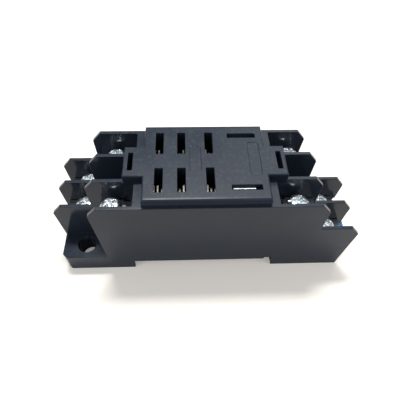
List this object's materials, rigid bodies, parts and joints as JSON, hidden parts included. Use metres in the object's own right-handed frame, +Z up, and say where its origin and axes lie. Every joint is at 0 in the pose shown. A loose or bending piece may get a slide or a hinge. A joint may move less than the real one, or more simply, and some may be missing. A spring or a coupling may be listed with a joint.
{
  "type": "relay socket",
  "caption": "Two-tier screw-terminal socket with a raised slotted seat for a plug-in relay, a clip-on rail foot with a sliding latch, and diagonal fixing ears.",
  "frame": {"origin": "midway between the two fixing holes, on the mounting plane", "axes": "+X along the socket towards the latch's finger tab, +Y across it, +Z up out of the relay seat"},
  "size_m": [0.0748, 0.0226, 0.029],
  "materials": {
    "housing": "satin black moulding, glossy inside the bays",
    "cover": "matt",
    "latch": "satin",
    "terminal_strip": "tin plated",
    "contact_spring": "bright, lightly plated",
    "clamp_plate": "bright zinc plated",
    "screw": "bright zinc plated"
  },
  "bodies": {
    "socket": {"housing": "housing", "bottom_cover": "cover", "terminal_left_top_back": "terminal_strip", "terminal_left_top_front": "terminal_strip", "terminal_left_low_back": "terminal_strip", "terminal_left_low_mid": "terminal_strip", "terminal_right_top_back": "terminal_strip", "terminal_right_top_front": "terminal_strip", "terminal_right_low_mid": "terminal_strip", "terminal_right_low_front": "terminal_strip", "contact_left_top_back": "contact_spring", "contact_left_top_front": "contact_spring", "contact_left_low_back": "contact_spring", "contact_left_low_mid": "contact_spring", "contact_right_top_back": "contact_spring", "contact_right_top_front": "contact_spring", "contact_right_low_mid": "contact_spring", "contact_right_low_front": "contact_spring"},
    "latch": {"din_latch": "latch"},
    "clamp_left_top_back_body": {"clamp_left_top_back": "clamp_plate"},
    "screw_left_top_back_body": {"screw_left_top_back": "screw"},
    "clamp_left_top_front_body": {"clamp_left_top_front": "clamp_plate"},
    "screw_left_top_front_body": {"screw_left_top_front": "screw"},
    "clamp_left_low_back_body": {"clamp_left_low_back": "clamp_plate"},
    "screw_left_low_back_body": {"screw_left_low_back": "screw"},
    "clamp_left_low_mid_body": {"clamp_left_low_mid": "clamp_plate"},
    "screw_left_low_mid_body": {"screw_left_low_mid": "screw"},
    "clamp_right_top_back_body": {"clamp_right_top_back": "clamp_plate"},
    "screw_right_top_back_body": {"screw_right_top_back": "screw"},
    "clamp_right_top_front_body": {"clamp_right_top_front": "clamp_plate"},
    "screw_right_top_front_body": {"screw_right_top_front": "screw"},
    "clamp_right_low_mid_body": {"clamp_right_low_mid": "clamp_plate"},
    "screw_right_low_mid_body": {"screw_right_low_mid": "screw"},
    "clamp_right_low_front_body": {"clamp_right_low_front": "clamp_plate"},
    "screw_right_low_front_body": {"screw_right_low_front": "screw"}
  },
  "joints": [
    {"name": "latch_slide", "type": "slide", "parent": "socket", "child": "latch", "axis": [1, 0, 0], "range_m": [0, 0.0025], "stiffness_N_per_m": 300},
    {"name": "clamp_left_top_back_lift", "type": "slide", "parent": "socket", "child": "clamp_left_top_back_body", "axis": [0, 0, 1], "range_m": [0, 0.0025]},
    {"name": "screw_left_top_back_turn", "type": "hinge", "parent": "clamp_left_top_back_body", "child": "screw_left_top_back_body", "pos_m": [-0.0208, 0.00723, 0.02], "axis": [0, 0, 1], "range_deg": [0, 1800]},
    {"name": "clamp_left_top_front_lift", "type": "slide", "parent": "socket", "child": "clamp_left_top_front_body", "axis": [0, 0, 1], "range_m": [0, 0.0025]},
    {"name": "screw_left_top_front_turn", "type": "hinge", "parent": "clamp_left_top_front_body", "child": "screw_left_top_front_body", "pos_m": [-0.0208, -0.00723, 0.02], "axis": [0, 0, 1], "range_deg": [0, 1800]},
    {"name": "clamp_left_low_back_lift", "type": "slide", "parent": "socket", "child": "clamp_left_low_back_body", "axis": [0, 0, 1], "range_m": [0, 0.0025]},
    {"name": "screw_left_low_back_turn", "type": "hinge", "parent": "clamp_left_low_back_body", "child": "screw_left_low_back_body", "pos_m": [-0.0293, 0.00723, 0.0106], "axis": [0, 0, 1], "range_deg": [0, 1800]},
    {"name": "clamp_left_low_mid_lift", "type": "slide", "parent": "socket", "child": "clamp_left_low_mid_body", "axis": [0, 0, 1], "range_m": [0, 0.0025]},
    {"name": "screw_left_low_mid_turn", "type": "hinge", "parent": "clamp_left_low_mid_body", "child": "screw_left_low_mid_body", "pos_m": [-0.0293, 0, 0.0106], "axis": [0, 0, 1], "range_deg": [0, 1800]},
    {"name": "clamp_right_top_back_lift", "type": "slide", "parent": "socket", "child": "clamp_right_top_back_body", "axis": [0, 0, 1], "range_m": [0, 0.0025]},
    {"name": "screw_right_top_back_turn", "type": "hinge", "parent": "clamp_right_top_back_body", "child": "screw_right_top_back_body", "pos_m": [0.0208, 0.00723, 0.02], "axis": [0, 0, 1], "range_deg": [0, 1800]},
    {"name": "clamp_right_top_front_lift", "type": "slide", "parent": "socket", "child": "clamp_right_top_front_body", "axis": [0, 0, 1], "range_m": [0, 0.0025]},
    {"name": "screw_right_top_front_turn", "type": "hinge", "parent": "clamp_right_top_front_body", "child": "screw_right_top_front_body", "pos_m": [0.0208, -0.00723, 0.02], "axis": [0, 0, 1], "range_deg": [0, 1800]},
    {"name": "clamp_right_low_mid_lift", "type": "slide", "parent": "socket", "child": "clamp_right_low_mid_body", "axis": [0, 0, 1], "range_m": [0, 0.0025]},
    {"name": "screw_right_low_mid_turn", "type": "hinge", "parent": "clamp_right_low_mid_body", "child": "screw_right_low_mid_body", "pos_m": [0.0293, 0, 0.0106], "axis": [0, 0, 1], "range_deg": [0, 1800]},
    {"name": "clamp_right_low_front_lift", "type": "slide", "parent": "socket", "child": "clamp_right_low_front_body", "axis": [0, 0, 1], "range_m": [0, 0.0025]},
    {"name": "screw_right_low_front_turn", "type": "hinge", "parent": "clamp_right_low_front_body", "child": "screw_right_low_front_body", "pos_m": [0.0293, -0.00723, 0.0106], "axis": [0, 0, 1], "range_deg": [0, 1800]}
  ],
  "couplings": [
    {"joint": "screw_left_top_back_turn", "follows": "clamp_left_top_back_lift", "rad_per_m": 12566},
    {"joint": "screw_left_top_front_turn", "follows": "clamp_left_top_front_lift", "rad_per_m": 12566},
    {"joint": "screw_left_low_back_turn", "follows": "clamp_left_low_back_lift", "rad_per_m": 12566},
    {"joint": "screw_left_low_mid_turn", "follows": "clamp_left_low_mid_lift", "rad_per_m": 12566},
    {"joint": "screw_right_top_back_turn", "follows": "clamp_right_top_back_lift", "rad_per_m": 12566},
    {"joint": "screw_right_top_front_turn", "follows": "clamp_right_top_front_lift", "rad_per_m": 12566},
    {"joint": "screw_right_low_mid_turn", "follows": "clamp_right_low_mid_lift", "rad_per_m": 12566},
    {"joint": "screw_right_low_front_turn", "follows": "clamp_right_low_front_lift", "rad_per_m": 12566}
  ]
}
